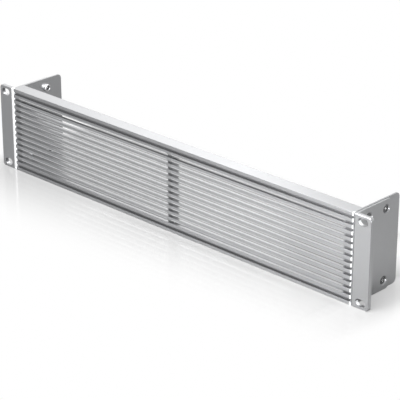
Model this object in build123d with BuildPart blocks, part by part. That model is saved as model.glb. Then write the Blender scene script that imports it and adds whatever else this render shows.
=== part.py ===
from build123d import *
import os

os.makedirs("parts", exist_ok=True)

# A 19-inch, two-unit vented blanking panel. Sizes are in millimetres.
# X runs along the panel, Y runs backwards and Z runs up. The origin is on the ground, below
# the middle of the whole panel.

# Rack standard
panel_width = 482.6
panel_height = 88.1
panel_depth = 63.7
rack_slot_inset_x = 8.75
rack_slot_inset_z = 5.95

# Ears and their arms
ear_width = 19.8
ear_thickness = 4.0
ear_corner_radius = 3.0
ear_edge_chamfer = 0.3
rack_slot_length = 11.0
rack_slot_width = 7.0
arm_thickness = 2.2
arm_depth = 49.5
arm_height_clearance = 0.5
arm_corner_radius = 2.5
bend_radius = 2.4
inner_bend_radius = 0.8

# Ribbed front extrusion
face_thickness = 3.0
groove_depth = 2.0
groove_width = 2.7
groove_pitch = 6.07
least_end_rib = 3.0
blind_grooves_each_side = 1
rib_edge_radius = 0.4
face_end_chamfer = 0.8
face_end_clearance = 0.2
flange_depth = 14.5
flange_thickness = 3.0
flange_edge_radius = 0.5
slot_end_margin = 9.0
web_width = 6.0

# Screw ports that the extrusion carries under its flanges
port_radius = 2.8
port_inset_z = 6.5
port_set_back = 8.0
port_neck_width = 2.8
port_slit_width = 1.4

# Centre brace
brace_depth = 7.7
brace_edge_chamfer = 0.3
brace_clearance = 0.2

# Side plates
plate_thickness = 1.5
plate_corner_radius = 4.5
plate_front_clearance = 0.1

# Fasteners
bracket_screw_radius = 2.0
bracket_screw_head_radius = 4.2
bracket_screw_length = 8.0
port_screw_radius = 1.35
port_screw_head_radius = 2.8
port_screw_length = 12.0
head_sink = 0.2
thread_clearance = 0.05
shank_clearance = 0.2
head_clearance = 0.1
countersink_angle = 90
recess_width_share = 0.24
recess_length_share = 1.15
recess_depth_share = 0.6
nut_radius = 3.95
nut_height = 4.5
nut_shank_radius = 2.7
nut_shank_shortfall = 0.2
bracket_screw_inset_z = 9.5
front_screw_set_back = 19.0
rear_screw_inset_y = 6.5

# Tolerance for picking edges by their place
same_place = 0.01

# Places that follow from the sizes above
front_y = -panel_depth / 2
ear_back_y = front_y + ear_thickness
face_back_y = front_y + face_thickness
arm_rear_y = front_y + arm_depth
half_height = panel_height / 2
ear_outer_x = panel_width / 2
plate_outer_x = ear_outer_x - ear_width
plate_inner_x = plate_outer_x - plate_thickness
arm_outer_x = plate_outer_x + arm_thickness
face_half_length = plate_outer_x - face_end_clearance
slot_outer_x = plate_inner_x - slot_end_margin
slot_inner_x = web_width / 2
groove_count = int((panel_height - 2 * least_end_rib - groove_width) / groove_pitch) + 1
slot_rows = groove_count - 2 * blind_grooves_each_side
rack_slot_pitch_x = panel_width - 2 * rack_slot_inset_x
rack_slot_pitch_z = panel_height - 2 * rack_slot_inset_z
port_bore_radius = port_screw_radius + thread_clearance
port_y = front_y + port_set_back
port_heights = {"lower": port_inset_z, "upper": panel_height - port_inset_z}
screw_heights = {"lower": bracket_screw_inset_z, "upper": panel_height - bracket_screw_inset_z}
screw_depths = {"front": front_y + front_screw_set_back, "rear": arm_rear_y - rear_screw_inset_y}
sides = {"left": -1, "right": 1}


def save(part, name):
    """Label a finished piece and write it under the name of its node."""
    part.label = name
    export_step(part, f"parts/{name}.step")


def outward_plane(side, x, y=0.0, z=0.0):
    """A plane whose normal points away from the panel's middle, at the given place."""
    return Plane(origin=(side * x, y, z), x_dir=(0, side, 0), z_dir=(side, 0, 0))


def bracket_screw_places():
    """Name, depth and height of each screw that joins an arm to its side plate."""
    for level, z in screw_heights.items():
        for place, y in screw_depths.items():
            yield f"{level}_{place}", y, z


# The front is one extrusion: a grooved face, two flanges and a screw port under each.
# The face overlaps the side plates' front edges, so it is longer than the flanges.
with BuildPart() as grille:
    with BuildSketch(Plane.YZ.offset(-face_half_length)) as face_profile:
        with Locations(((front_y + face_back_y) / 2, half_height)):
            Rectangle(face_thickness, panel_height)
        with Locations((front_y + groove_depth / 2, half_height)):
            with GridLocations(0, groove_pitch, 1, groove_count):
                Rectangle(groove_depth, groove_width, mode=Mode.SUBTRACT)
        fillet(face_profile.vertices().group_by(Axis.X)[0], rib_edge_radius)
    extrude(amount=2 * face_half_length)

    with BuildSketch(Plane.YZ.offset(-plate_inner_x)) as flange_profile:
        flange_reach = flange_depth - face_thickness
        for z in (flange_thickness / 2, panel_height - flange_thickness / 2):
            with Locations((face_back_y + flange_reach / 2, z)):
                Rectangle(flange_reach, flange_thickness)
        fillet(flange_profile.vertices().group_by(Axis.X)[-1], flange_edge_radius)
        for z in port_heights.values():
            with Locations((port_y, z)):
                Circle(port_radius)
        for z in (port_inset_z / 2, panel_height - port_inset_z / 2):
            with Locations((port_y, z)):
                Rectangle(port_neck_width, port_inset_z)
        for z in port_heights.values():
            with Locations((port_y, z)):
                Circle(port_bore_radius, mode=Mode.SUBTRACT)
            with Locations((port_y + port_radius / 2, z)):
                Rectangle(port_radius, port_slit_width, mode=Mode.SUBTRACT)
    extrude(amount=2 * plate_inner_x)

    # The floors of the middle grooves are slotted through, and a centre web stays between.
    with BuildSketch(Plane.XZ.offset(-face_back_y)):
        for side in sides.values():
            with Locations((side * (slot_inner_x + slot_outer_x) / 2, half_height)):
                with GridLocations(0, groove_pitch, 1, slot_rows):
                    Rectangle(slot_outer_x - slot_inner_x, groove_width)
    extrude(amount=face_thickness, mode=Mode.SUBTRACT)

    # The front corner of both ends is broken, so each rib ends in a small slope.
    with BuildSketch(Plane.XY):
        for side in sides.values():
            with BuildLine():
                Polyline(
                    (side * face_half_length, front_y),
                    (side * (face_half_length - face_end_chamfer), front_y),
                    (side * face_half_length, front_y + face_end_chamfer),
                    close=True,
                )
            make_face()
    extrude(amount=panel_height, mode=Mode.SUBTRACT)
save(grille.part, "grille_extrusion")


# The brace backs the centre web from flange to flange and is notched round the screw ports.
brace_height = panel_height - 2 * flange_thickness - 2 * brace_clearance
notch_start_y = port_y - port_radius - brace_clearance
notch_depth = face_back_y + brace_depth - notch_start_y
notch_height = port_inset_z + port_radius + brace_clearance
with BuildPart() as brace:
    with BuildSketch(Plane.YZ.offset(-web_width / 2)):
        with Locations((face_back_y + brace_depth / 2, half_height)):
            Rectangle(brace_depth, brace_height)
        for z in (notch_height / 2, panel_height - notch_height / 2):
            with Locations((notch_start_y + notch_depth / 2, z)):
                Rectangle(notch_depth, notch_height, mode=Mode.SUBTRACT)
    extrude(amount=web_width)
    chamfer(brace.faces().sort_by(Axis.Y)[-1].edges(), brace_edge_chamfer)
save(brace.part, "centre_brace")


def make_ear_bracket(side):
    """L-shaped bracket: a slotted ear in front and an arm that runs back beside the panel."""
    with BuildPart() as bracket:
        with BuildSketch(Plane.XY) as ear_profile:
            with BuildLine():
                Polyline(
                    (side * plate_outer_x, front_y),
                    (side * ear_outer_x, front_y),
                    (side * ear_outer_x, ear_back_y),
                    (side * plate_outer_x, ear_back_y),
                    close=True,
                )
            make_face()
            front_vertices = ear_profile.vertices().group_by(Axis.Y)[0]
            fillet(front_vertices.sort_by(lambda v: abs(v.X))[0], bend_radius)
        extrude(amount=panel_height)
        ear_side_edges = bracket.edges().filter_by(Axis.Y).filter_by(lambda e: abs(e.center().X) > arm_outer_x)
        fillet(ear_side_edges, ear_corner_radius)
        outer_front_edges = (
            bracket.faces().filter_by(Plane.XZ).sort_by(Axis.Y)[0].edges()
            .filter_by(lambda e: abs(e.center().X) > plate_outer_x + bend_radius + ear_edge_chamfer)
        )
        chamfer(outer_front_edges, ear_edge_chamfer)

        # The arm is a little lower than the ear, and its rear corners are rounded.
        arm_height = panel_height - 2 * arm_height_clearance
        with BuildSketch(outward_plane(side, plate_outer_x)) as arm_outline:
            with Locations((side * (ear_back_y + arm_rear_y) / 2, half_height)):
                Rectangle(arm_rear_y - ear_back_y, arm_height)
            rear_vertices = arm_outline.vertices().sort_by(Axis.X)
            fillet(rear_vertices[2:] if side > 0 else rear_vertices[:2], arm_corner_radius)
        extrude(amount=arm_thickness)
        inner_bend = (
            bracket.edges().filter_by(Axis.Z)
            .filter_by_position(Axis.Y, ear_back_y - same_place, ear_back_y + same_place)
            .filter_by(lambda e: abs(abs(e.center().X) - arm_outer_x) < same_place)
        )
        fillet(inner_bend, inner_bend_radius)

        # Rack slots in the ear
        with BuildSketch(Plane.XZ.offset(-ear_back_y)):
            with Locations((side * rack_slot_pitch_x / 2, half_height)):
                with GridLocations(0, rack_slot_pitch_z, 1, 2):
                    SlotOverall(rack_slot_length, rack_slot_width)
        extrude(amount=ear_thickness, mode=Mode.SUBTRACT)

        # Countersunk holes in the arm
        sink_clearance = head_sink + head_clearance
        for _, y, z in bracket_screw_places():
            with Locations(outward_plane(side, arm_outer_x, y, z)):
                CounterSinkHole(
                    bracket_screw_radius + shank_clearance, bracket_screw_head_radius + sink_clearance,
                    depth=arm_thickness, counter_sink_angle=countersink_angle,
                )
        for z in port_heights.values():
            with Locations(outward_plane(side, arm_outer_x, port_y, z)):
                CounterSinkHole(
                    port_screw_radius + shank_clearance, port_screw_head_radius + sink_clearance,
                    depth=arm_thickness, counter_sink_angle=countersink_angle,
                )
    return bracket.part


def make_side_plate(side):
    """Thin plate between the extrusion's end and the arm, with rounded rear corners."""
    plate_front_y = face_back_y + plate_front_clearance
    plate_rear_y = front_y + panel_depth
    with BuildPart() as plate:
        with BuildSketch(outward_plane(side, plate_inner_x)) as outline:
            with Locations((side * (plate_front_y + plate_rear_y) / 2, half_height)):
                Rectangle(plate_rear_y - plate_front_y, panel_height)
            corners = outline.vertices().sort_by(Axis.X)
            fillet(corners[2:] if side > 0 else corners[:2], plate_corner_radius)
        extrude(amount=plate_thickness)
        for _, y, z in bracket_screw_places():
            with Locations(outward_plane(side, plate_outer_x, y, z)):
                Hole(nut_shank_radius + thread_clearance, depth=plate_thickness)
        for z in port_heights.values():
            with Locations(outward_plane(side, plate_outer_x, port_y, z)):
                Hole(port_screw_radius + shank_clearance, depth=plate_thickness)
    return plate.part


def make_countersunk_screw(side, y, z, radius, head_radius, length):
    """Cross-recessed countersunk screw, its head a little below the arm's outer face."""
    head_x = arm_outer_x - head_sink
    with BuildPart() as screw:
        with BuildSketch(Plane(origin=(side * head_x, y, z), x_dir=(-side, 0, 0), z_dir=(0, 1, 0))):
            with BuildLine():
                Polyline(
                    (0, 0),
                    (0, head_radius),
                    (head_radius - radius, radius),
                    (length, radius),
                    (length, 0),
                    close=True,
                )
            make_face()
        revolve(axis=Axis((side * head_x, y, z), (1, 0, 0)))
        with BuildSketch(outward_plane(side, head_x, y, z)):
            width = recess_width_share * head_radius
            reach = recess_length_share * head_radius
            Rectangle(width, reach)
            Rectangle(reach, width)
        extrude(amount=-recess_depth_share * radius, mode=Mode.SUBTRACT)
    return screw.part


def make_clinch_nut(side, y, z):
    """Round clinch nut: its shank fills the side plate's hole and its body stands inside."""
    with BuildPart() as nut:
        with BuildSketch(outward_plane(side, plate_inner_x, y, z)):
            Circle(nut_radius)
        extrude(amount=-nut_height)
        with BuildSketch(outward_plane(side, plate_inner_x, y, z)):
            Circle(nut_shank_radius)
        extrude(amount=plate_thickness - nut_shank_shortfall)
        with Locations(outward_plane(side, plate_outer_x, y, z)):
            Hole(bracket_screw_radius + thread_clearance, depth=plate_thickness + nut_height)
    return nut.part


for side_name, side in sides.items():
    save(make_ear_bracket(side), f"{side_name}_ear_bracket")
    save(make_side_plate(side), f"{side_name}_side_plate")
    for place, y, z in bracket_screw_places():
        bracket_screw = make_countersunk_screw(
            side, y, z, bracket_screw_radius, bracket_screw_head_radius, bracket_screw_length)
        save(bracket_screw, f"{side_name}_{place}_bracket_screw")
        save(make_clinch_nut(side, y, z), f"{side_name}_{place}_clinch_nut")
    for level, z in port_heights.items():
        port_screw = make_countersunk_screw(
            side, port_y, z, port_screw_radius, port_screw_head_radius, port_screw_length)
        save(port_screw, f"{side_name}_{level}_port_screw")
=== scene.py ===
"""Dresses a vented 19-inch blanking panel: metal finishes, screws, clinch nuts and a studio."""

import math

import bmesh
import bpy
from mathutils import Matrix, Vector


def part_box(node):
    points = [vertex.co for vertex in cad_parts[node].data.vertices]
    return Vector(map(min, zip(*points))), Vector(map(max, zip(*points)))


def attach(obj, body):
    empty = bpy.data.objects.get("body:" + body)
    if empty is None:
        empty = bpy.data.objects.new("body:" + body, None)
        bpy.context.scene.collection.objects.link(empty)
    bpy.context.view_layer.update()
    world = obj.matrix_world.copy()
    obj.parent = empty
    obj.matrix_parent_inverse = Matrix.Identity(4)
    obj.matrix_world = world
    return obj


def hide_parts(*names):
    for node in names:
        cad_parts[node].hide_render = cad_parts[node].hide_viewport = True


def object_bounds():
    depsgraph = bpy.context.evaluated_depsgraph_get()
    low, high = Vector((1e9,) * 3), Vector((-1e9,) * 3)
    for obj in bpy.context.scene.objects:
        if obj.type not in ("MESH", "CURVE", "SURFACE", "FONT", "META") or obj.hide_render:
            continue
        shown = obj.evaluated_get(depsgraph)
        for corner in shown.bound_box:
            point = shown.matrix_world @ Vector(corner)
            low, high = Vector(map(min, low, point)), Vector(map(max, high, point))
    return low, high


bl_info = {
    "name": "Vented blanking panel",
    "version": (1, 0, 0),
    "blender": (4, 5, 0),
    "location": "3D View > Sidebar > Blanking Panel",
    "description": "Finishes, fasteners and studio for a vented two-unit rack panel",
    "category": "Object",
}

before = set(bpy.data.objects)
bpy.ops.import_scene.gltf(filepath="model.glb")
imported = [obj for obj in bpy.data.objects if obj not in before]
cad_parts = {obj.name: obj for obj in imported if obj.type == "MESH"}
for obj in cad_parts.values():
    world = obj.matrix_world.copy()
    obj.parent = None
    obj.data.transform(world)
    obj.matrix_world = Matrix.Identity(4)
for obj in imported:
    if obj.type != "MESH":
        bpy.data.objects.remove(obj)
CAD_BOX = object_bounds()
BODY = "root"
WHITE = (1.0, 1.0, 1.0, 1.0)

ARMS = ("left_ear_bracket", "right_ear_bracket")
PLATES = ("left_side_plate", "right_side_plate")
BRACKET_SCREWS = tuple(sorted(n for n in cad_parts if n.endswith("_bracket_screw")))
PORT_SCREWS = tuple(sorted(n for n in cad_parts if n.endswith("_port_screw")))
CLINCH_NUTS = tuple(sorted(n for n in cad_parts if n.endswith("_clinch_nut")))

# Vertices nearer than this are one
SAME_PLACE = 1e-7
SMOOTH_ANGLE = math.radians(35.0)
# Where the middle ring of a head's rounding stands, against the rounding's radius
ROUND_EASE = 0.3
HEART_FACETS = 24
# Degrees from one screw's stop to the next one's, and those after which a cross recess repeats
STOP_STEP = 37
QUARTER_TURN = 90

# Sockets of a Mix node that blends colours
MIX_SHARE, MIX_FIRST, MIX_SECOND, MIX_RESULT = 0, 6, 7, 2

# Octaves and break-up of the noises in the finishes, and the tone about which they swing
SOFT_NOISE = {"Detail": 2.0, "Roughness": 0.5}
CLOUDY_NOISE = {"Detail": 3.0, "Roughness": 0.5}
GRAINY_NOISE = {"Detail": 3.0, "Roughness": 0.7}
SCRATCHY_NOISE = {"Detail": 4.0, "Roughness": 0.7}
NOISE_MEAN = 0.5

# The camera's sensor in millimetres, and how far the camera sees, in metres
SENSOR_WIDTH = 36.0
VIEW_LIMIT = 100.0

# Places and sizes in metres
LAMPS = {
    "front": {
        "place": (0.18, -0.25, 0.34), "target": (0.18, -0.249, 0.0), "size": (0.36, 0.2), "watts": 4.7},
    "top_glow": {
        "place": (-0.68, 0.55, 0.5), "target": (-0.1, 0.0, 0.05), "size": (0.5, 0.25), "watts": 0.4},
    "top_left": {
        "place": (-0.4, 0.42, 0.72), "target": (0.0, 0.0, 0.05), "size": (0.4, 0.3), "watts": 2.1},
    "corner": {
        "place": (0.72, -0.66, 0.05), "target": (-0.05, -0.03, 0.045), "size": (0.45, 0.09), "watts": 5.0},
    "overhead": {
        "place": (0.1, -0.1, 1.5), "target": (0.0, 0.0, 0.0), "size": (2.2, 2.2), "watts": 26.0},
}


# Shader maths

class Socket:
    """An output socket that takes part in Python sums, each of which adds one Math node."""

    def __init__(self, tree, output):
        self.tree = tree
        self.output = output

    def _sum(self, operation, *terms):
        node = self.tree.nodes.new("ShaderNodeMath")
        node.operation = operation
        for entry, term in zip(node.inputs, terms):
            if isinstance(term, Socket):
                self.tree.links.new(term.output, entry)
            else:
                entry.default_value = term
        return Socket(self.tree, node.outputs[0])

    def __add__(self, other):
        return self._sum("ADD", self, other)

    def __sub__(self, other):
        return self._sum("SUBTRACT", self, other)

    def __rsub__(self, other):
        return self._sum("SUBTRACT", other, self)

    def __mul__(self, other):
        return self._sum("MULTIPLY", self, other)

    def __truediv__(self, other):
        return self._sum("DIVIDE", self, other)

    def __rtruediv__(self, other):
        return self._sum("DIVIDE", other, self)

    def __pow__(self, other):
        return self._sum("POWER", self, other)

    __radd__ = __add__
    __rmul__ = __mul__

    def absolute(self):
        return self._sum("ABSOLUTE", self)

    def wrapped(self, period):
        """The remainder above the last whole period, also for negative numbers."""
        return self._sum("FLOORED_MODULO", self, period)

    def at_most(self, other):
        return self._sum("MINIMUM", self, other)

    def at_least(self, other):
        return self._sum("MAXIMUM", self, other)

    def clamped(self):
        return self.at_least(0.0).at_most(1.0)

    def above(self, limit, blend):
        """0 up to a limit, and 1 from a blend's width past it."""
        return ((self - limit) / blend).clamped()

    def below(self, limit, blend):
        """0 from a limit on, and 1 up to a blend's width before it."""
        return ((limit - self) / blend).clamped()

    def eased(self):
        """A ramp from 0 to 1 with soft ends."""
        return self * self * (3.0 - 2.0 * self)

    def swing(self, contrast):
        """How far a noise stands from its mean, times a contrast."""
        return (self - NOISE_MEAN) * contrast


class NodeTree:
    """A node tree under construction, with one method that makes any node."""

    def __init__(self, tree):
        self.tree = tree
        tree.nodes.clear()

    def node(self, kind, settings=None, inputs=None, output=0):
        """Adds a node, applies its settings, fills or links its inputs and returns one output."""
        node = self.tree.nodes.new(kind)
        for name, value in (settings or {}).items():
            setattr(node, name, value)
        for name, value in (inputs or {}).items():
            if isinstance(value, Socket):
                self.tree.links.new(value.output, node.inputs[name])
            else:
                node.inputs[name].default_value = value
        if not node.outputs:
            return None
        return Socket(self.tree, node.outputs[output])

    def place(self):
        """The point on the piece, in metres."""
        return self.node("ShaderNodeTexCoord", output="Object")

    def stretched(self, point, scale):
        return self.node("ShaderNodeMapping", inputs={"Vector": point, "Scale": scale})

    def noise(self, point, size, kind):
        """A noise whose features have a size in metres."""
        return self.node("ShaderNodeTexNoise", inputs={"Vector": point, "Scale": 1.0 / size, **kind})

    def mixed_colour(self, share, first, second):
        """Blends two colours by a share from 0 to 1."""
        return self.node(
            "ShaderNodeMix", {"data_type": "RGBA"},
            {MIX_SHARE: share, MIX_FIRST: first, MIX_SECOND: second}, output=MIX_RESULT)

    def axis(self, point, axis):
        """One coordinate of a point."""
        return self.node("ShaderNodeSeparateXYZ", inputs={"Vector": point}, output=axis)

    def seen_by(self):
        """Whether a ray is the camera's, and whether it is the camera's, a mirror's or a glass's."""
        camera, glossy, clear = (
            self.node("ShaderNodeLightPath", output=f"Is {kind} Ray")
            for kind in ("Camera", "Glossy", "Transmission"))
        return camera, (camera + glossy + clear).clamped()


# Finishes

def opaque(colour):
    return (colour[0], colour[1], colour[2], 1.0)


def scaled(colour, share):
    return tuple(channel * share for channel in colour)


def new_material(name):
    material = bpy.data.materials.new(name)
    material.use_nodes = True
    return material, NodeTree(material.node_tree)


def varied_colour(tree, shade, colour, spread):
    """A colour that a shade takes from its darker side at 0 to its lighter one at 1."""
    return tree.mixed_colour(
        shade.clamped(), opaque(scaled(colour, 1.0 - spread)), opaque(scaled(colour, 1.0 + spread)))


def metal_surface(tree, finish, colour, roughness, relief):
    """Ends a metal's material: a surface that reflects as bare metal, with a fine relief."""
    normal = tree.node(
        "ShaderNodeBump",
        inputs={"Strength": finish.bump_strength, "Distance": finish.bump_height, "Height": relief})
    surface = tree.node(
        "ShaderNodeBsdfPrincipled",
        inputs={"Base Color": colour, "Metallic": 1.0, "Roughness": roughness, "Normal": normal})
    tree.node("ShaderNodeOutputMaterial", inputs={"Surface": surface})


def blasted_aluminium(name, finish, draw_axis, painted_highlight=None, painted_shade=None):
    """Silver anodised aluminium: a fine blasted grain, faint cloudiness and drawn lines.

    The two optional zone functions each take the tree and a point and give the share of
    painted highlight, mixed towards a light colour, and of painted shade, mixed towards a dark one.
    """
    material, tree = new_material(name)
    point = tree.place()
    grain = tree.noise(point, finish.grain_size, GRAINY_NOISE)
    clouds = tree.noise(point, finish.cloud_size, CLOUDY_NOISE)
    across = [1.0 / finish.line_width] * 3
    across[draw_axis] = 1.0 / finish.line_length
    lines = tree.noise(tree.stretched(point, across), 1.0, SOFT_NOISE)
    relief = grain * (1.0 - finish.line_share) + lines * finish.line_share
    tones = clouds.swing(finish.cloud_contrast) + grain.swing(finish.grain_contrast)
    shade = tones + lines.swing(finish.line_contrast) + NOISE_MEAN
    colour = varied_colour(tree, shade, finish.colour, finish.colour_spread)
    roughness = finish.roughness + grain.swing(finish.roughness_spread)
    # Painted highlight: bright zones mixed towards a light colour, with some roughness added
    if painted_highlight is not None:
        highlight_share = painted_highlight(tree, point)
        colour = tree.mixed_colour(highlight_share, colour, opaque(finish.painted_highlight_colour))
        roughness = roughness + highlight_share * finish.highlight_roughness
    # Painted shade: shaded hollows and edges mixed towards a dark colour
    if painted_shade is not None:
        colour = tree.mixed_colour(
            painted_shade(tree, point) * finish.painted_shade_strength, colour, opaque(finish.painted_shade_colour))
    metal_surface(tree, finish, colour, roughness, relief)
    return material


def plated_steel(name, finish, colour, roughness, painted_highlight=None, painted_shade=None):
    """Zinc plating over turned steel, slightly blotched, with an optional zone of painted highlight and one
    of painted shade.
    """
    material, tree = new_material(name)
    point = tree.place()
    blotches = tree.noise(point, finish.blotch_size, CLOUDY_NOISE)
    scratches = tree.noise(point, finish.scratch_size, SCRATCHY_NOISE)
    shade = blotches.swing(finish.blotch_contrast) + NOISE_MEAN
    plating = varied_colour(tree, shade, colour, finish.colour_spread)
    # Painted highlight, as in the screws' recesses, and painted shade, as on the nuts' end faces
    if painted_highlight is not None:
        plating = tree.mixed_colour(painted_highlight(tree, point), plating, opaque(finish.painted_highlight_colour))
    if painted_shade is not None:
        plating = tree.mixed_colour(painted_shade(tree, point), plating, opaque(finish.nut_end_shade_colour))
    metal_surface(tree, finish, plating, roughness + scratches.swing(finish.roughness_spread), scratches)
    return material


# Zones of a finish that take painted highlights and painted shade

def either(first, second):
    """The greater of two shares."""
    return lambda tree, point: first(tree, point).at_least(second(tree, point))


def bend_edge(zones, node):
    """The rounded bend of the left ear bracket, between its front and its inner face, which takes a painted
    highlight.
    """
    low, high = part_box(node)

    def share(tree, point):
        outward = high.x - tree.axis(point, 0)
        behind = tree.axis(point, 1) - low.y
        width, edge = zones.bend_width, zones.edge_blend
        return outward.above(-edge, edge) * outward.below(width, edge) * behind.below(width, edge)

    return share


def rib_ends(zones, node):
    """The chamfers at both ends of the ribs, which take a painted highlight."""
    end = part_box(node)[1].x

    def share(tree, point):
        inward = end - tree.axis(point, 0).absolute()
        return inward.below(zones.chamfer_width, zones.edge_blend)

    return share


def slot_lips(zones, node):
    """A painted highlight on the ribs' faces along the open slots, strongest at the left end."""
    low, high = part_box(node)
    middle = (low.z + high.z) / 2.0
    reach = (high.z - low.z) / 2.0 - zones.plain_margin - zones.blind_height

    def share(tree, point):
        edge = zones.edge_blend
        x, height = tree.axis(point, 0), tree.axis(point, 2) - middle
        step = height.wrapped(zones.groove_pitch)
        from_slot = (step - zones.groove_pitch / 2.0 - zones.lip_offset).absolute()
        strip = from_slot.below(zones.lip_reach, zones.lip_blend)
        on_face = (tree.axis(point, 1) - low.y).below(zones.rim_blend, zones.rim_blend)
        in_height = height.absolute().below(reach, edge)
        away = x.absolute()
        in_slot = away.below(high.x - zones.slot_margin, edge)
        off_web = away.above(zones.web_half, edge)
        towards_left = x.below(zones.lip_end, zones.lip_fade)
        return strip * on_face * in_height * in_slot * off_web * towards_left * zones.lip_share

    return share


def discs_round(nodes, radius, blend):
    """A disc round the axis of each fastener, the same at both ends of the panel."""
    centres = []
    for node in nodes:
        low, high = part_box(node)
        centres.append(((low.y + high.y) / 2.0, (low.z + high.z) / 2.0))

    def share(tree, point):
        y, z = tree.axis(point, 1), tree.axis(point, 2)
        total = None
        for centre_y, centre_z in centres:
            away_y, away_z = y - centre_y, z - centre_z
            distance = (away_y * away_y + away_z * away_z) ** 0.5
            disc = distance.below(radius, blend)
            total = disc if total is None else total.at_least(disc)
        return total

    return share


def recesses(finish, nodes, radius):
    """The inside of each screw's recess, which takes a painted highlight: within a radius and below the face
    of its head.
    """
    discs = discs_round(nodes, radius, finish.edge_blend)
    head = max(abs(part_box(nodes[0])[0].x), abs(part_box(nodes[0])[1].x))

    def share(tree, point):
        blend = finish.edge_blend
        depth = head - finish.recess_start - tree.axis(point, 0).absolute()
        return discs(tree, point) * depth.above(0.0, blend) * depth.below(finish.recess_limit, blend)

    return share


def shaded_rim(zones, depth):
    """Painted shade on the broken edge round a front face, told by its depth behind the face."""
    blend = zones.rim_blend
    return depth.above(blend, blend) * depth.below(zones.rim_depth, blend) * zones.rim_shade_share


def ear_rim(zones, node):
    """Painted shade on the broken edges of one ear's front."""
    low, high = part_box(node)

    def share(tree, point):
        rim = shaded_rim(zones, tree.axis(point, 1) - low.y)
        return rim * tree.axis(point, 0).above(0.0, zones.edge_blend)

    return share


def rack_slot_walls(zones, node, lower):
    """The upper left or the lower left walls of one ear's rack slots: the lower ones take a painted
    highlight, the upper ones painted shade.
    """
    low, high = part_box(node)
    inset_x, inset_z = zones.rack_slot_inset
    half_length, half_height = zones.rack_slot_reach
    centres = (low.z + inset_z, high.z - inset_z)

    def share(tree, point):
        edge = zones.edge_blend
        x, z = tree.axis(point, 0) - (high.x - inset_x), tree.axis(point, 2)
        depth = tree.axis(point, 1) - low.y
        in_wall = depth.above(zones.rim_depth, edge)
        before_arm = depth.below(zones.wall_depth, edge)
        near = x.absolute().below(half_length, edge)
        at_left = x.below(0.0 if lower else half_height, half_height)
        total = None
        for centre in centres:
            rise = (z - centre) * (-1.0 if lower else 1.0)
            walls = rise.above(0.0, edge) * rise.below(half_height, edge)
            total = walls if total is None else total.at_least(walls)
        return total * in_wall * before_arm * near * at_left

    return share


def screw_seats(zones):
    """Painted shade on the countersunk seats round the heads of the bracket screws."""
    nodes = [node for node in BRACKET_SCREWS if node.startswith("left")]
    low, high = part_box(nodes[0])
    seats = discs_round(nodes, (high.z - low.z) / 2.0 + zones.seat_margin, zones.edge_blend)
    return lambda tree, point: seats(tree, point) * zones.seat_shade_share


def groove_hollows(zones, node):
    """Painted shade on the walls and floors of the grooves, more so with depth, and on the broken rims."""
    low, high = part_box(node)
    middle = (low.z + high.z) / 2.0
    reach = (high.z - low.z) / 2.0 - zones.plain_margin

    def share(tree, point):
        edge = zones.edge_blend
        depth = tree.axis(point, 1) - low.y
        deeper = depth.above(0.0, zones.hollow_depth)
        in_face = depth.below(zones.face_depth, edge)
        height = (tree.axis(point, 2) - middle).absolute()
        between_flanges = height.below(reach, edge)
        away = tree.axis(point, 0).absolute()
        at_end = away.above(high.x - zones.slot_margin, edge)
        at_web = away.below(zones.web_half, edge)
        at_flange = height.above(reach - zones.blind_height, edge)
        blind = at_end.at_least(at_web).at_least(at_flange).at_least(zones.slot_shade_share)
        rim = shaded_rim(zones, depth) * away.below(high.x - zones.rim_margin, edge)
        return (deeper * in_face * between_flanges * blind).at_least(rim)

    return share


# Sizes and colours that a user would change

def length_setting(name, description, default, least=0.0):
    """A length in metres."""
    return bpy.props.FloatProperty(
        name=name, description=description, unit="LENGTH", min=least, default=default)


def share_setting(name, description, default, least=0.0, most=1.0):
    """A plain share or strength."""
    return bpy.props.FloatProperty(
        name=name, description=description, subtype="FACTOR", min=least, max=most, default=default)


def colour_setting(name, description, default):
    """A linear colour."""
    return bpy.props.FloatVectorProperty(
        name=name, description=description, subtype="COLOR", size=3, min=0.0, max=1.0, default=default)


def place_setting(name, description, default):
    """Two or three lengths in metres, along X, Y and Z as the description says."""
    return bpy.props.FloatVectorProperty(
        name=name, description=description, subtype="XYZ_LENGTH", size=len(default), default=default)


class AluminiumFinish(bpy.types.PropertyGroup):
    """The look of an anodised piece"""
    colour: colour_setting("Colour", "Average colour of the anodised surface", (0.41, 0.414, 0.422))
    colour_spread: share_setting(
        "Colour spread", "How far the tone varies about the average", 0.10, most=0.5)
    roughness: share_setting("Roughness", "Average roughness of the blasted surface", 0.29)
    roughness_spread: share_setting("Roughness spread", "Variation of the roughness over the grain", 0.02)
    grain_size: length_setting("Grain size", "Width of one blasted dimple", 0.00035, least=0.00005)
    grain_contrast: share_setting("Grain contrast", "Tone change between dimples", 0.25, most=2.0)
    cloud_size: length_setting("Cloud size", "Width of the faint anodising clouds", 0.045, least=0.001)
    cloud_contrast: share_setting("Cloud contrast", "Tone change between clouds", 0.6, most=2.0)
    line_width: length_setting(
        "Line width", "Width of the lines left by drawing or extruding", 0.0006, least=0.0001)
    line_length: length_setting("Line length", "Length over which a drawn line fades", 0.12, least=0.01)
    line_share: share_setting("Line share", "Share of the relief that the drawn lines make", 0.12)
    line_contrast: share_setting("Line contrast", "Tone change between drawn lines", 0.1, most=2.0)
    bump_strength: share_setting("Relief strength", "Strength of the grain's relief", 0.06)
    bump_height: length_setting("Relief height", "Height of the grain's relief", 0.00003)
    # Painted highlight: its colour, and the roughness it adds
    painted_highlight_colour: colour_setting(
        "Burnish colour", "Colour of an edge rubbed bright", (0.93, 0.94, 0.95))
    highlight_roughness: share_setting(
        "Burnish roughness", "Roughness that rubbing adds to a bright edge", 0.26, most=0.7)
    # Painted shade: its colour, and how far it darkens a zone
    painted_shade_colour: colour_setting(
        "Hollow colour", "Colour of a surface gone dull", (0.10, 0.10, 0.105))
    painted_shade_strength: share_setting("Hollow shade", "How far a dull zone takes on the hollow colour", 0.55)


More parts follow.
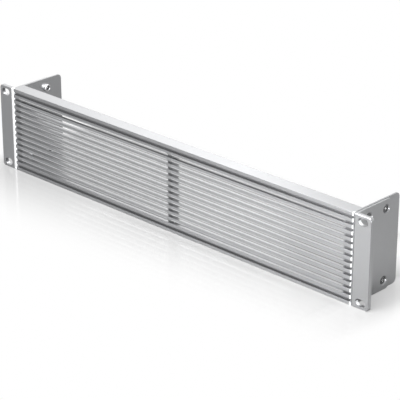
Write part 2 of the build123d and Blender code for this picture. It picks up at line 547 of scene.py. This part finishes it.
class ZoneSizes(bpy.types.PropertyGroup):
    """Where the anodised pieces take painted highlights and painted shade"""
    # The bend and the rib chamfers take a painted highlight
    bend_width: length_setting(
        "Bend width", "Width of the bright band along the left bracket's bend", 0.0024)
    chamfer_width: length_setting(
        "Chamfer width", "Width of the bright chamfers at the ends of the ribs", 0.0008)
    edge_blend: length_setting(
        "Edge blend", "Distance over which a band's limit fades", 0.0001, least=0.00001)
    hollow_depth: length_setting(
        "Hollow depth", "Depth at which a groove is at its darkest", 0.002, least=0.0001)
    # Painted shade in the grooves reaches no deeper than the face
    face_depth: length_setting(
        "Face depth", "Depth of the ribbed face, behind which nothing is soiled", 0.00295, least=0.0001)
    # The broken rims of front faces take painted shade
    rim_depth: length_setting(
        "Rim depth", "Depth behind a front face to which its broken edge reaches", 0.00032)
    rim_blend: length_setting(
        "Rim blend", "Depth over which the matt edge fades in and out", 0.00002, least=0.000001)
    rim_margin: length_setting("Rim margin", "Length of bright edge left at each end of a rib", 0.0015)
    rim_shade_share: share_setting(
        "Rim soiling", "Dullness of the broken edges of a front face", 1.1, most=2.0)
    groove_pitch: length_setting(
        "Groove pitch", "Height from one groove to the next", 0.00607, least=0.001)
    plain_margin: length_setting(
        "Plain margin", "Height of the flange edges, which have no grooves", 0.002)
    blind_height: length_setting(
        "Blind height", "Height of the band that the first or last, blind groove takes", 0.0055)
    slot_margin: length_setting("Slot margin", "Length of blind groove beyond the end of a slot", 0.009)
    # Painted shade in the open slots, against that in blind grooves
    slot_shade_share: share_setting(
        "Slot soiling", "Soiling of the open slots against that of blind grooves", 0.35)
    web_half: length_setting("Web half", "Half width of the centre web between the slots", 0.003)
    # The lip settings place a painted highlight along the open slots
    lip_reach: length_setting("Lip reach", "Half height of the pale band that lies round a slot", 0.0023)
    lip_offset: length_setting(
        "Lip offset", "Height of the pale band's middle above the slot's", 0.0003, least=-1.0)
    lip_blend: length_setting(
        "Lip blend", "Height over which the pale lip fades out", 0.0003, least=0.00001)
    lip_share: share_setting("Lip share", "Brightness of the pale lip", 0.6)
    lip_end: length_setting(
        "Lip end", "Place along the panel at which the pale lip has faded out", 0.22, least=-1.0)
    lip_fade: length_setting("Lip fade", "Length over which the pale lip fades out", 0.26, least=0.01)
    # Painted shade on the countersunk seats
    seat_shade_share: share_setting("Seat soiling", "Dullness of the countersunk seats round the screws", 0.8)
    seat_margin: length_setting("Seat margin", "Width of a seat round a screw's head", 0.0003)
    rack_slot_inset: place_setting(
        "Rack slot inset", "Distances along X and Z from the ear's corner to a rack slot's middle",
        (0.00875, 0.00595))
    rack_slot_reach: place_setting(
        "Rack slot reach", "Half length and half height of the zone of a rack slot's walls",
        (0.0057, 0.0037))
    wall_depth: length_setting(
        "Wall depth", "Depth behind an ear's front to which a rack slot's walls are told", 0.0039)


class SteelFinish(bpy.types.PropertyGroup):
    """The look of the screws and nuts"""
    screw_colour: colour_setting(
        "Screw colour", "Average colour of a screw's plating", (0.15, 0.152, 0.156))
    nut_colour: colour_setting("Nut colour", "Average colour of a nut's plating", (0.8, 0.8, 0.81))
    screw_roughness: share_setting("Screw roughness", "Average roughness of a screw's plating", 0.24)
    nut_roughness: share_setting("Nut roughness", "Average roughness of a nut's plating", 0.4)
    # Painted highlight in the screws' recesses
    painted_highlight_colour: colour_setting(
        "Burnish colour", "Colour of the bare steel in a recess", (0.92, 0.92, 0.92))
    # Painted shade on the nuts' end faces and bores
    nut_end_shade_colour: colour_setting(
        "Bore colour", "Colour of a nut's bore and of the face round it", (0.42, 0.42, 0.43))
    edge_blend: length_setting(
        "Edge blend", "Distance over which a bright or dark part fades out", 0.0001, least=0.00001)
    # Where the painted highlight in a recess begins and ends
    recess_start: length_setting(
        "Recess start", "Depth below the arm's face at which a recess is bare", 0.00065)
    recess_limit: length_setting("Recess limit", "Depth of the bright part of a recess", 0.003)
    colour_spread: share_setting(
        "Colour spread", "How far the tone varies about the average", 0.12, most=0.5)
    roughness_spread: share_setting(
        "Roughness spread", "Variation of the roughness over the surface", 0.2)
    blotch_size: length_setting("Blotch size", "Width of the plating's blotches", 0.003, least=0.0005)
    blotch_contrast: share_setting("Blotch contrast", "Tone change between blotches", 0.8, most=2.0)
    scratch_size: length_setting(
        "Scratch size", "Width of the fine handling marks", 0.0003, least=0.00005)
    bump_strength: share_setting("Relief strength", "Strength of the surface's relief", 0.25)
    bump_height: length_setting("Relief height", "Height of the surface's relief", 0.00001)


class FastenerSizes(bpy.types.PropertyGroup):
    """The shapes of the screws and nuts"""
    segments: bpy.props.IntProperty(
        name="Segments", description="Facets round a screw or a nut", min=16, max=128, default=48)
    rings_per_turn: bpy.props.IntProperty(
        name="Rings per turn", description="Rings of vertices along one turn of thread",
        min=4, max=16, default=6)
    bracket_pitch: length_setting(
        "Bracket screw pitch", "Thread pitch of the bracket screws", 0.0007, least=0.0002)
    port_pitch: length_setting(
        "Port screw pitch", "Thread pitch of the port screws", 0.0005, least=0.0002)
    thread_depth: share_setting("Thread depth", "Depth of a thread, as a share of its pitch", 0.6)
    bracket_shank: share_setting(
        "Bracket screw shank", "Radius of a bracket screw's shank, as a share of its head's", 2.0 / 4.2)
    port_shank: share_setting(
        "Port screw shank", "Radius of a port screw's shank, as a share of its head's", 1.35 / 2.8)
    head_sink: length_setting(
        "Head sink", "Depth of a screw's head below the mouth of its countersink", 0.00055)
    rim_height: length_setting(
        "Rim height", "Height of the short straight rim of a countersunk head", 0.00025)
    rim_round: length_setting("Rim rounding", "Rounding at the top of a countersunk head", 0.00012)
    tip_chamfer: length_setting("Tip chamfer", "Chamfer at a screw's tip", 0.0004)
    tip_setback: length_setting(
        "Tip setback", "How far a bracket screw ends short of its solid's tip", 0.0014)
    wing_width: share_setting(
        "Wing width", "Width of a recess wing, as a share of the head radius", 0.25, least=0.05, most=0.6)
    wing_reach: share_setting(
        "Wing reach", "Reach of a recess wing, as a share of the head radius", 0.6, least=0.2, most=0.9)
    wing_taper: share_setting(
        "Wing taper", "Size of a recess wing's foot against its top", 0.55, least=0.1)
    recess_depth: share_setting(
        "Recess depth", "Depth of the recess, as a share of the head radius", 0.36, least=0.1, most=0.6)
    heart_foot: share_setting(
        "Heart foot", "Radius of the recess's heart at its foot, as a share of the wing's width", 0.3)
    heart_mouth: share_setting(
        "Heart mouth", "Radius of the recess's heart at its top, as a share of the wing's width",
        1.25, most=2.0)
    heart_height: share_setting(
        "Heart height", "Height of the cone that cuts the heart, as a share of the recess's depth",
        2.2, most=3.0)
    nut_height_share: share_setting(
        "Nut height share", "Height of a nut's body against its solid's", 0.72, least=0.3)
    nut_taper: share_setting(
        "Nut taper", "Radius of a nut's free end against that of its foot", 0.9, least=0.5)
    nut_rim_height: length_setting(
        "Nut rim height", "Height of the straight foot of a clinch nut", 0.0005)
    nut_end_chamfer: length_setting(
        "Nut end chamfer", "Chamfer round the free end of a clinch nut", 0.0003)
    nut_bore_chamfer: length_setting(
        "Nut bore chamfer", "Countersink at the mouth of a clinch nut's bore", 0.0004)
    nut_shank_radius: length_setting(
        "Nut shank radius", "Radius of the shank that a nut clinches into the plate", 0.0027)
    nut_bore_radius: length_setting("Nut bore radius", "Radius of a nut's threaded bore", 0.00205)


class StudioSettings(bpy.types.PropertyGroup):
    """The table, the backdrop and the camera"""
    world_level: bpy.props.FloatProperty(
        name="World level", description="Strength of an even light that helps the lamps, none by default",
        min=0.0, max=2.0, default=0.0)
    floor_colour: colour_setting(
        "Floor colour", "Colour of the table before and beside the panel", (0.37, 0.37, 0.37))
    bounce_colour: colour_setting(
        "Bounce colour", "Colour of the table in the light that it throws on matt surfaces", (0.5, 0.5, 0.5))
    rear_colour: colour_setting(
        "Rear colour", "Colour of the shaded table behind the panel", (0.29, 0.29, 0.29))
    pool_colour: colour_setting(
        "Pool colour", "Colour of the table within the pool of light, to the camera", (0.31, 0.31, 0.31))
    floor_gloss: share_setting("Floor gloss", "Strength of the table's mirror reflection", 0.9)
    floor_roughness: share_setting("Floor roughness", "Roughness of the table's glossy surface", 0.06)
    floor_size: length_setting("Floor size", "Half width of the table", 6.0, least=1.0)
    footprint: place_setting(
        "Footprint", "Half length and half depth of the floor under the panel",
        (CAD_BOX[1].x, CAD_BOX[1].y))
    white_distance: length_setting(
        "White distance", "Distance from the panel at which the table is white", 0.10, least=0.001)
    side_fade: length_setting(
        "Side fade", "Distance over which the table turns white beside the panel", 0.03, least=0.001)
    rear_shade: length_setting("Rear shade", "Depth of natural table behind the panel", 0.062)
    rear_fade: length_setting(
        "Rear fade", "Distance over which the table turns white behind the panel", 0.032, least=0.001)
    mirror_share: share_setting(
        "Mirror share", "How fast the table whitens in the metal against the camera's view", 0.08)
    glow: share_setting(
        "Glow", "Share of white in the table beside the panel, as the camera sees it", 0.4)
    glow_blend: length_setting(
        "Glow blend", "Distance over which the table's glow begins", 0.02, least=0.001)
    pool_reach: length_setting(
        "Pool reach", "Distance left of the middle at which the lamp's pool of light ends",
        0.12, least=0.01)
    pool_glow: share_setting(
        "Pool glow", "Glow of the table within the pool of light against that outside", 0.3)
    corner_place: place_setting(
        "Corner place", "X and Y of the corner past which the table is white", (0.125, 0.03))
    corner_blend: length_setting(
        "Corner blend", "Distance over which the table whitens past that corner", 0.05, least=0.001)
    ear_reach: length_setting(
        "Ear reach", "Width at the panel's right end over which the table glows", 0.04)
    lens: bpy.props.FloatProperty(
        name="Lens", description="Focal length on a 36 mm sensor, in millimetres",
        min=10.0, max=500.0, default=160.5)
    camera_place: place_setting("Camera place", "Place of the camera", (1.0880, -1.11995, 0.7058))
    camera_turn: bpy.props.FloatVectorProperty(
        name="Camera turn", description="Rotation of the camera about each axis", subtype="EULER", size=3,
        default=(math.radians(90.0 - 23.63), 0.0, math.radians(43.91)))


SETTINGS = {
    "panel_face": AluminiumFinish,
    "panel_bracket": AluminiumFinish,
    "panel_plate": AluminiumFinish,
    "panel_brace": AluminiumFinish,
    "panel_zones": ZoneSizes,
    "panel_steel": SteelFinish,
    "panel_fasteners": FastenerSizes,
    "panel_studio": StudioSettings,
}


def settings(name):
    return getattr(bpy.context.scene, name)


# Work on pieces

def dress(node, material):
    """Gives a carried-over piece its finish."""
    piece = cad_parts[node]
    for entry in piece.material_slots:
        entry.material = material


def clear_selection():
    """Leaves edit mode and deselects everything."""
    if bpy.context.object and bpy.context.object.mode != "OBJECT":
        bpy.ops.object.mode_set(mode="OBJECT")
    bpy.ops.object.select_all(action="DESELECT")


def pick(piece):
    """Selects one piece alone and makes it the active one."""
    clear_selection()
    piece.select_set(True)
    bpy.context.view_layer.objects.active = piece


def select_verts(test):
    """Selects the vertices of the piece in edit mode that pass a test of their place."""
    mesh = bmesh.from_edit_mesh(bpy.context.object.data)
    for element in (*mesh.verts, *mesh.edges, *mesh.faces):
        element.select_set(False)
    for vert in mesh.verts:
        if test(vert.co):
            vert.select_set(True)
    mesh.select_flush_mode()
    bmesh.update_edit_mesh(bpy.context.object.data)


def turned_piece(name, rings, segments):
    """Extrudes a circle from ring to ring, each a radius and a height, as on a lathe."""
    clear_selection()
    radius, height = rings[0]
    bpy.ops.mesh.primitive_circle_add(vertices=segments, radius=radius, location=(0.0, 0.0, height))
    piece = bpy.context.object
    piece.name = name
    bpy.ops.object.transform_apply(location=True, rotation=True, scale=True)
    bpy.ops.object.mode_set(mode="EDIT")
    bpy.ops.mesh.select_mode(type="VERT")
    bpy.ops.mesh.select_all(action="SELECT")
    for next_radius, next_height in rings[1:]:
        bpy.ops.mesh.extrude_region_move(
            TRANSFORM_OT_translate={"value": (0.0, 0.0, next_height - height)})
        share = next_radius / radius
        bpy.ops.transform.resize(value=(share, share, 1.0), center_override=(0.0, 0.0, 0.0))
        radius, height = next_radius, next_height
    return piece


def cap_ends(first_height, last_height):
    """Closes the first and the last ring of a turned piece."""
    for height in (first_height, last_height):
        select_verts(lambda co: abs(co.z - height) < SAME_PLACE)
        bpy.ops.mesh.edge_face_add()


def face_outwards():
    bpy.ops.mesh.select_all(action="SELECT")
    bpy.ops.mesh.normals_make_consistent(inside=False)


def cut_thread(piece, top, bottom, pitch, depth, run_out):
    """Turns the straight rings between two heights into a helical thread."""
    for vert in piece.data.vertices:
        co = vert.co
        if not bottom - SAME_PLACE <= co.z <= top + SAME_PLACE:
            continue
        turn = math.atan2(co.y, co.x) / math.tau
        phase = (co.z / pitch - turn) % 1.0
        ridge = abs(2.0 * phase - 1.0)
        ease = min(1.0, (top - co.z) / run_out, (co.z - bottom) / run_out)
        radius = math.hypot(co.x, co.y)
        share = 1.0 - depth * (1.0 - ridge) * max(0.0, ease) / radius
        co.x *= share
        co.y *= share


def tapered_wing(length, width, depth, taper):
    """A bar that narrows downwards from a little above the head's face."""
    clear_selection()
    bpy.ops.mesh.primitive_cube_add(size=1.0, location=(0.0, 0.0, 0.0))
    wing = bpy.context.object
    wing.scale = (length, width, 2.0 * depth)
    bpy.ops.object.transform_apply(location=True, rotation=True, scale=True)
    bpy.ops.object.mode_set(mode="EDIT")
    bpy.ops.mesh.select_mode(type="VERT")
    select_verts(lambda co: co.z < 0.0)
    bpy.ops.transform.resize(value=(taper, taper, 1.0), center_override=(0.0, 0.0, 0.0))
    bpy.ops.object.mode_set(mode="OBJECT")
    return wing


def cut_recess(piece, head_radius, face, sizes):
    """Cuts a cross recess with narrowing wings and a round heart into a screw's head."""
    length = 2.0 * sizes.wing_reach * head_radius
    width = sizes.wing_width * head_radius
    depth = sizes.recess_depth * head_radius
    cutters = []
    for quarter in range(2):
        wing = tapered_wing(length, width, depth, sizes.wing_taper)
        wing.data.transform(Matrix.Rotation(quarter * math.pi / 2.0, 4, "Z"))
        cutters.append(wing)
    clear_selection()
    bpy.ops.mesh.primitive_cone_add(
        vertices=HEART_FACETS, radius1=sizes.heart_foot * width, radius2=sizes.heart_mouth * width,
        depth=sizes.heart_height * depth, location=(0.0, 0.0, 0.0))
    heart = bpy.context.object
    bpy.ops.object.transform_apply(location=True, rotation=True, scale=True)
    cutters.append(heart)
    for cutter in cutters:
        cutter.data.transform(Matrix.Translation((0.0, 0.0, face)))
        pick(piece)
        modifier = piece.modifiers.new("recess", "BOOLEAN")
        modifier.operation = "DIFFERENCE"
        modifier.solver = "EXACT"
        modifier.object = cutter
        bpy.ops.object.modifier_apply(modifier=modifier.name)
        bpy.data.objects.remove(cutter, do_unlink=True)


def finish_master(piece):
    """Merges doubles, turns the faces outwards and smooths all but the sharp edges."""
    pick(piece)
    bpy.ops.object.mode_set(mode="EDIT")
    bpy.ops.mesh.select_all(action="SELECT")
    bpy.ops.mesh.remove_doubles(threshold=SAME_PLACE)
    face_outwards()
    bpy.ops.object.mode_set(mode="OBJECT")
    bpy.ops.object.shade_smooth_by_angle(angle=SMOOTH_ANGLE)


def thread_heights(top, bottom, pitch, rings_per_turn):
    """The heights of the rings along a thread."""
    count = max(2, round((top - bottom) / pitch * rings_per_turn))
    return [top + (bottom - top) * step / count for step in range(count + 1)]


def screw_master(name, head_radius, shank_radius, length, pitch, sizes):
    """A countersunk screw that points down, its head's face at height zero."""
    rim = sizes.rim_round
    face = -sizes.head_sink
    face_radius = head_radius - sizes.head_sink
    cone_end = -sizes.rim_height - (head_radius - shank_radius)
    tip = -length
    thread_bottom = tip + sizes.tip_chamfer
    rings = [
        (face_radius - rim, face),
        (face_radius - ROUND_EASE * rim, face - ROUND_EASE * rim),
        (face_radius, face - rim),
        (face_radius, face - sizes.rim_height),
    ]
    thread = thread_heights(cone_end, thread_bottom, pitch, sizes.rings_per_turn)
    rings += [(shank_radius, z) for z in thread]
    rings.append((shank_radius - sizes.tip_chamfer, tip))
    piece = turned_piece(name, rings, sizes.segments)
    cap_ends(face, tip)
    face_outwards()
    bpy.ops.object.mode_set(mode="OBJECT")
    cut_thread(piece, cone_end, thread_bottom, pitch, sizes.thread_depth * pitch, run_out=pitch)
    cut_recess(piece, face_radius, face, sizes)
    finish_master(piece)
    return piece


def nut_master(name, body_radius, body_height, shank_height, sizes):
    """A clinch nut that stands on the plate: its free end is up and its shank points down."""
    shank_radius, bore_radius = sizes.nut_shank_radius, sizes.nut_bore_radius
    end = sizes.nut_end_chamfer
    mouth = sizes.nut_bore_chamfer
    end_height = sizes.nut_height_share * body_height
    end_radius = sizes.nut_taper * body_radius
    outside = [
        (bore_radius + mouth, end_height),
        (end_radius - end, end_height),
        (end_radius, end_height - end),
        (body_radius, sizes.nut_rim_height),
        (body_radius, 0.0),
        (shank_radius, 0.0),
        (shank_radius, -shank_height),
    ]
    bore_top = end_height - mouth
    inside = [
        (bore_radius, z)
        for z in thread_heights(-shank_height, bore_top, sizes.bracket_pitch, sizes.rings_per_turn)
    ]
    piece = turned_piece(name, outside + inside + outside[:1], sizes.segments)
    finish_master(piece)
    return piece


def outward_side(node):
    """Which way a fastener at one end of the panel faces: -1 to the left, 1 to the right."""
    low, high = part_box(node)
    return 1.0 if low.x + high.x > 0.0 else -1.0


def set_copy(master, node, foot, side, turn, material):
    """Puts a copy of a fastener in a node's place, its own Z turned to the outward side."""
    copy = master.copy()
    copy.data = master.data.copy()
    copy.name = f"{node}_detail"
    copy.data.name = copy.name
    bpy.context.scene.collection.objects.link(copy)
    tilt = Matrix.Rotation(side * math.pi / 2.0, 4, "Y")
    spin = Matrix.Rotation(turn, 4, "Z")
    copy.data.transform(Matrix.Translation(foot) @ tilt @ spin)
    copy.data.materials.clear()
    copy.data.materials.append(material)
    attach(copy, BODY)
    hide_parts(node)
    return copy


def screw_turn(index):
    """Each screw stops at its own angle within a quarter turn."""
    return math.radians((index * STOP_STEP) % QUARTER_TURN)


def set_screws(nodes, kind, shank_share, pitch, setback=0.0):
    """Makes one screw from the first node's size and puts a copy in each node's place."""
    sizes = settings("panel_fasteners")
    low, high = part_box(nodes[0])
    head_radius = (high.z - low.z) / 2.0
    length = high.x - low.x - setback
    master = screw_master(f"{kind}_master", head_radius, shank_share * head_radius, length, pitch, sizes)
    finish = settings("panel_steel")
    left_nodes = [node for node in nodes if node.startswith("left")]
    # Painted highlight in each screw's recess
    material = plated_steel(
        f"zinc_{kind}", finish, finish.screw_colour, finish.screw_roughness,
        painted_highlight=recesses(finish, left_nodes, sizes.wing_reach * head_radius))
    for index, node in enumerate(nodes):
        low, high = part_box(node)
        side = outward_side(node)
        foot = Vector((high.x if side > 0.0 else low.x, (low.y + high.y) / 2.0, (low.z + high.z) / 2.0))
        set_copy(master, node, foot, side, screw_turn(index), material)
    bpy.data.objects.remove(master, do_unlink=True)


# Steps

class PANEL_OT_finish_grille(bpy.types.Operator):
    """Give the ribbed extrusion its blasted, anodised finish with lines along its length"""
    bl_idname = "blanking_panel.finish_grille"
    bl_label = "Finish grille"

    def execute(self, context):
        node, zones = "grille_extrusion", settings("panel_zones")
        # Painted highlights on the rib chamfers and slot lips, painted shade in the grooves and on the rims
        material = blasted_aluminium(
            "anodised_extrusion", settings("panel_face"), draw_axis=0,
            painted_highlight=either(rib_ends(zones, node), slot_lips(zones, node)),
            painted_shade=groove_hollows(zones, node))
        dress(node, material)
        return {"FINISHED"}


class PANEL_OT_finish_brackets(bpy.types.Operator):
    """Give both ear brackets their blasted, anodised finish"""
    bl_idname = "blanking_panel.finish_brackets"
    bl_label = "Finish ear brackets"

    def execute(self, context):
        zones = settings("panel_zones")
        left, right = ARMS
        # Painted shade on the right ear's rims, the screw seats and the upper slot walls; painted highlight
        # on the left bend and the lower slot walls
        shaded_edges = either(ear_rim(zones, right), screw_seats(zones))
        material = blasted_aluminium(
            "anodised_bracket", settings("panel_bracket"), draw_axis=2,
            painted_highlight=either(bend_edge(zones, left), rack_slot_walls(zones, right, lower=True)),
            painted_shade=either(shaded_edges, rack_slot_walls(zones, right, lower=False)))
        for node in ARMS:
            dress(node, material)
        return {"FINISHED"}


class PANEL_OT_finish_plates(bpy.types.Operator):
    """Give both side plates their rolled and anodised finish"""
    bl_idname = "blanking_panel.finish_plates"
    bl_label = "Finish side plates"

    def execute(self, context):
        material = blasted_aluminium("anodised_plate", settings("panel_plate"), draw_axis=1)
        for node in PLATES:
            dress(node, material)
        return {"FINISHED"}


class PANEL_OT_finish_brace(bpy.types.Operator):
    """Give the centre brace its drawn-bar finish"""
    bl_idname = "blanking_panel.finish_brace"
    bl_label = "Finish centre brace"

    def execute(self, context):
        material = blasted_aluminium("drawn_bar", settings("panel_brace"), draw_axis=2)
        dress("centre_brace", material)
        return {"FINISHED"}


class PANEL_OT_set_bracket_screws(bpy.types.Operator):
    """Set the eight countersunk cross-head screws that hold the arms to the side plates"""
    bl_idname = "blanking_panel.set_bracket_screws"
    bl_label = "Set bracket screws"

    def execute(self, context):
        sizes = settings("panel_fasteners")
        set_screws(
            BRACKET_SCREWS, "bracket_screw", sizes.bracket_shank, sizes.bracket_pitch, sizes.tip_setback)
        return {"FINISHED"}


class PANEL_OT_set_port_screws(bpy.types.Operator):
    """Set the four small countersunk screws that enter the extrusion's screw ports"""
    bl_idname = "blanking_panel.set_port_screws"
    bl_label = "Set port screws"

    def execute(self, context):
        sizes = settings("panel_fasteners")
        set_screws(PORT_SCREWS, "port_screw", sizes.port_shank, sizes.port_pitch)
        return {"FINISHED"}


class PANEL_OT_set_clinch_nuts(bpy.types.Operator):
    """Set the eight round clinch nuts on the inner faces of the side plates"""
    bl_idname = "blanking_panel.set_clinch_nuts"
    bl_label = "Set clinch nuts"

    def execute(self, context):
        sizes = settings("panel_fasteners")
        low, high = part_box(CLINCH_NUTS[0])
        body_radius = (high.z - low.z) / 2.0
        plate_low, plate_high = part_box("left_side_plate")
        body_height = high.x - plate_high.x
        shank_height = plate_high.x - low.x
        master = nut_master("clinch_nut_master", body_radius, body_height, shank_height, sizes)
        finish = settings("panel_steel")
        left_nodes = [node for node in CLINCH_NUTS if node.startswith("left")]
        end_radius = sizes.nut_taper * body_radius - sizes.nut_end_chamfer
        # Painted shade on each nut's end face and bore
        material = plated_steel(
            "zinc_clinch_nut", finish, finish.nut_colour, finish.nut_roughness,
            painted_shade=discs_round(left_nodes, end_radius, finish.edge_blend))
        for index, node in enumerate(CLINCH_NUTS):
            low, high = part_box(node)
            side = outward_side(node)
            seat_x = side * abs(plate_high.x)
            foot = Vector((seat_x, (low.y + high.y) / 2.0, (low.z + high.z) / 2.0))
            set_copy(master, node, foot, -side, screw_turn(index), material)
        bpy.data.objects.remove(master, do_unlink=True)
        return {"FINISHED"}


# Stage

def area_lamp(name, place, target, size, watts):
    """A soft rectangular lamp at a place, turned to a target."""
    lamp = bpy.data.lights.new(name, "AREA")
    lamp.shape = "RECTANGLE"
    lamp.size, lamp.size_y = size
    lamp.energy = watts
    holder = bpy.data.objects.new(name, lamp)
    holder.location = place
    holder.rotation_euler = (Vector(target) - Vector(place)).to_track_quat("-Z", "Y").to_euler()
    bpy.context.scene.collection.objects.link(holder)


def table_material(studio):
    """A pale glossy table: natural near the panel, and white to the camera further out.

    The metal sees it whiten more slowly, and other light falls on a plain matt colour.
    """
    material, tree = new_material("white_table")
    camera_ray, seen = tree.seen_by()
    place = tree.place()
    x, y = tree.axis(place, 0), tree.axis(place, 1)
    left, forward = 0.0 - x, 0.0 - y
    half_length, half_depth = studio.footprint
    beside = (x.absolute() - half_length).at_least(0.0) / studio.side_fade
    before = (forward - half_depth).at_least(0.0) / studio.white_distance
    behind = (y - half_depth - studio.rear_shade).at_least(0.0) / studio.rear_fade
    distance = (beside * beside + before * before + behind * behind) ** 0.5
    far = distance.at_most(1.0).eased()
    in_front = forward.above(0.0, studio.glow_blend)
    at_right = x.above(half_length - studio.ear_reach, studio.glow_blend)
    off_pool = left.above(0.0, studio.pool_reach) + studio.pool_glow
    glow = at_right.at_least(in_front * off_pool).at_most(1.0) * studio.glow
    corner_x, corner_y = studio.corner_place
    past_corner = x.above(corner_x, studio.corner_blend) * y.above(corner_y, studio.corner_blend)
    to_camera = (far + glow - far * glow).at_least(past_corner)
    to_metal = (distance * studio.mirror_share).at_most(1.0)
    whiteness = camera_ray * to_camera + (1.0 - camera_ray) * to_metal * to_metal

    # Painted shadow: the table behind the panel takes the darker rear colour, and to the camera the lamp's
    # pool takes the darker pool colour
    in_pool = in_front * x.above(-studio.pool_reach, 2.0 * studio.pool_reach) * camera_ray
    open_side = in_front.at_least(at_right)
    colour = tree.mixed_colour(open_side, opaque(studio.rear_colour), opaque(studio.floor_colour))
    colour = tree.mixed_colour(in_pool, colour, opaque(studio.pool_colour))
    near = tree.node(
        "ShaderNodeBsdfPrincipled",
        inputs={
            "Base Color": colour,
            "Roughness": studio.floor_roughness,
            "Specular IOR Level": studio.floor_gloss,
        })
    white = tree.node("ShaderNodeEmission", inputs={"Color": WHITE, "Strength": 1.0})
    bounce = tree.node("ShaderNodeBsdfDiffuse", inputs={"Color": opaque(studio.bounce_colour)})
    table = tree.node("ShaderNodeMixShader", inputs={0: whiteness, 1: near, 2: white})
    mixed = tree.node("ShaderNodeMixShader", inputs={0: seen, 1: bounce, 2: table})
    tree.node("ShaderNodeOutputMaterial", inputs={"Surface": mixed})
    return material


def studio_world(studio):
    """A white backdrop for the camera, mirrors and glass, and an even light for the rest."""
    world = bpy.data.worlds.new("studio_world")
    world.use_nodes = True
    tree = NodeTree(world.node_tree)
    even = tree.node("ShaderNodeBackground", inputs={"Color": WHITE, "Strength": studio.world_level})
    backdrop = tree.node("ShaderNodeBackground", inputs={"Color": WHITE, "Strength": 1.0})
    seen = tree.seen_by()[1]
    mixed = tree.node("ShaderNodeMixShader", inputs={0: seen, 1: even, 2: backdrop})
    tree.node("ShaderNodeOutputWorld", inputs={"Surface": mixed})
    return world


def photo_camera(studio):
    """A camera at the photograph's viewing angle."""
    camera_data = bpy.data.cameras.new("photo_camera")
    camera_data.lens = studio.lens
    camera_data.sensor_width = SENSOR_WIDTH
    camera_data.clip_end = VIEW_LIMIT
    camera = bpy.data.objects.new("photo_camera", camera_data)
    camera.location = studio.camera_place
    camera.rotation_euler = studio.camera_turn
    bpy.context.scene.collection.objects.link(camera)
    return camera


class PANEL_OT_build_stage(bpy.types.Operator):
    """Build the white table, the lamps, the backdrop and the camera"""
    bl_idname = "blanking_panel.build_stage"
    bl_label = "Build stage"

    def execute(self, context):
        studio = settings("panel_studio")
        clear_selection()
        bpy.ops.mesh.primitive_plane_add(size=2.0 * studio.floor_size, location=(0.0, 0.0, 0.0))
        table = bpy.context.object
        table.name = "white_table"
        table.data.materials.append(table_material(studio))

        for name, lamp in LAMPS.items():
            area_lamp(name, **lamp)
        context.scene.world = studio_world(studio)
        context.scene.camera = photo_camera(studio)
        context.scene.view_settings.view_transform = "Standard"
        return {"FINISHED"}

OPERATORS = (
    PANEL_OT_finish_grille,
    PANEL_OT_finish_brackets,
    PANEL_OT_finish_plates,
    PANEL_OT_finish_brace,
    PANEL_OT_set_bracket_screws,
    PANEL_OT_set_port_screws,
    PANEL_OT_set_clinch_nuts,
    PANEL_OT_build_stage,
)


class PANEL_PT_sidebar(bpy.types.Panel):
    """Lists the steps that dress the panel"""
    bl_idname = "PANEL_PT_sidebar"
    bl_label = "Blanking Panel"
    bl_space_type = "VIEW_3D"
    bl_region_type = "UI"
    bl_category = "Blanking Panel"

    def draw(self, context):
        for operator in OPERATORS:
            self.layout.operator(operator.bl_idname)

GROUPS = (AluminiumFinish, ZoneSizes, SteelFinish, FastenerSizes, StudioSettings)
CLASSES = (*GROUPS, *OPERATORS, PANEL_PT_sidebar)


def register():
    for cls in CLASSES:
        bpy.utils.register_class(cls)
    for name, group in SETTINGS.items():
        setattr(bpy.types.Scene, name, bpy.props.PointerProperty(type=group))


def unregister():
    for name in SETTINGS:
        delattr(bpy.types.Scene, name)
    for cls in reversed(CLASSES):
        bpy.utils.unregister_class(cls)


def main():
    register()
    for operator in OPERATORS:
        group, _, name = operator.bl_idname.partition(".")
        getattr(getattr(bpy.ops, group), name)()
    bpy.context.view_layer.update()


if __name__ == "__main__":
    main()
